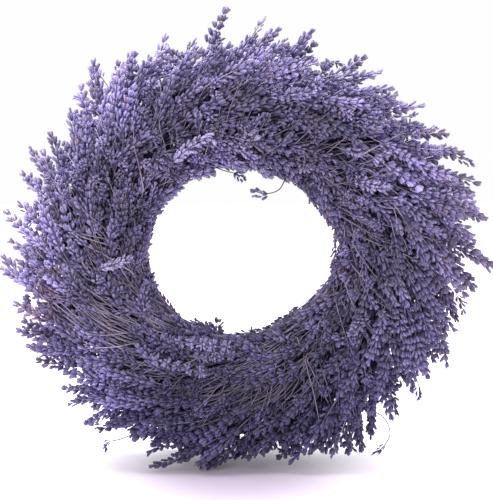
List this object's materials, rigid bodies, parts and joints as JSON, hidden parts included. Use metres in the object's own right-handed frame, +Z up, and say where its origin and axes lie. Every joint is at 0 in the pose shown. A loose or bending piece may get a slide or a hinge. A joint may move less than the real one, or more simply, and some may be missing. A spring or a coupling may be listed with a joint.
{
  "type": "dried lavender wreath",
  "caption": "Round wreath of dried lavender bunches bound with wire to a steel ring, their flower heads swirling clockwise into a ragged fringe round an open centre.",
  "frame": {"origin": "on the surface the wreath stands on, under the middle of the box round it", "axes": "+Z up; the front, which the flower heads cover, faces -Y; +X to the right as seen from the front"},
  "size_m": [0.466, 0.1026, 0.4216],
  "materials": {
    "inner_bunch": "dry matt lavender, grey violet",
    "face_bunch": "dry matt lavender, grey violet",
    "outer_bunch": "dry matt lavender, grey violet",
    "wire_ring": "dull steel wire",
    "binding_wire": "thin green florist's wire"
  },
  "bodies": {
    "root": {"wire_ring": "wire_ring", "binding_wire": "binding_wire", "inner_bunch_01": "inner_bunch", "inner_bunch_02": "inner_bunch", "inner_bunch_03": "inner_bunch", "inner_bunch_04": "inner_bunch", "inner_bunch_05": "inner_bunch", "inner_bunch_06": "inner_bunch", "inner_bunch_07": "inner_bunch", "inner_bunch_08": "inner_bunch", "inner_bunch_09": "inner_bunch", "inner_bunch_10": "inner_bunch", "inner_bunch_11": "inner_bunch", "inner_bunch_12": "inner_bunch", "inner_bunch_13": "inner_bunch", "inner_bunch_14": "inner_bunch", "face_bunch_01": "face_bunch", "face_bunch_02": "face_bunch", "face_bunch_03": "face_bunch", "face_bunch_04": "face_bunch", "face_bunch_05": "face_bunch", "face_bunch_06": "face_bunch", "face_bunch_07": "face_bunch", "face_bunch_08": "face_bunch", "face_bunch_09": "face_bunch", "face_bunch_10": "face_bunch", "face_bunch_11": "face_bunch", "face_bunch_12": "face_bunch", "face_bunch_13": "face_bunch", "face_bunch_14": "face_bunch", "outer_bunch_01": "outer_bunch", "outer_bunch_02": "outer_bunch", "outer_bunch_03": "outer_bunch", "outer_bunch_04": "outer_bunch", "outer_bunch_05": "outer_bunch", "outer_bunch_06": "outer_bunch", "outer_bunch_07": "outer_bunch", "outer_bunch_08": "outer_bunch", "outer_bunch_09": "outer_bunch", "outer_bunch_10": "outer_bunch", "outer_bunch_11": "outer_bunch", "outer_bunch_12": "outer_bunch", "outer_bunch_13": "outer_bunch", "outer_bunch_14": "outer_bunch"}
  },
  "joints": []
}
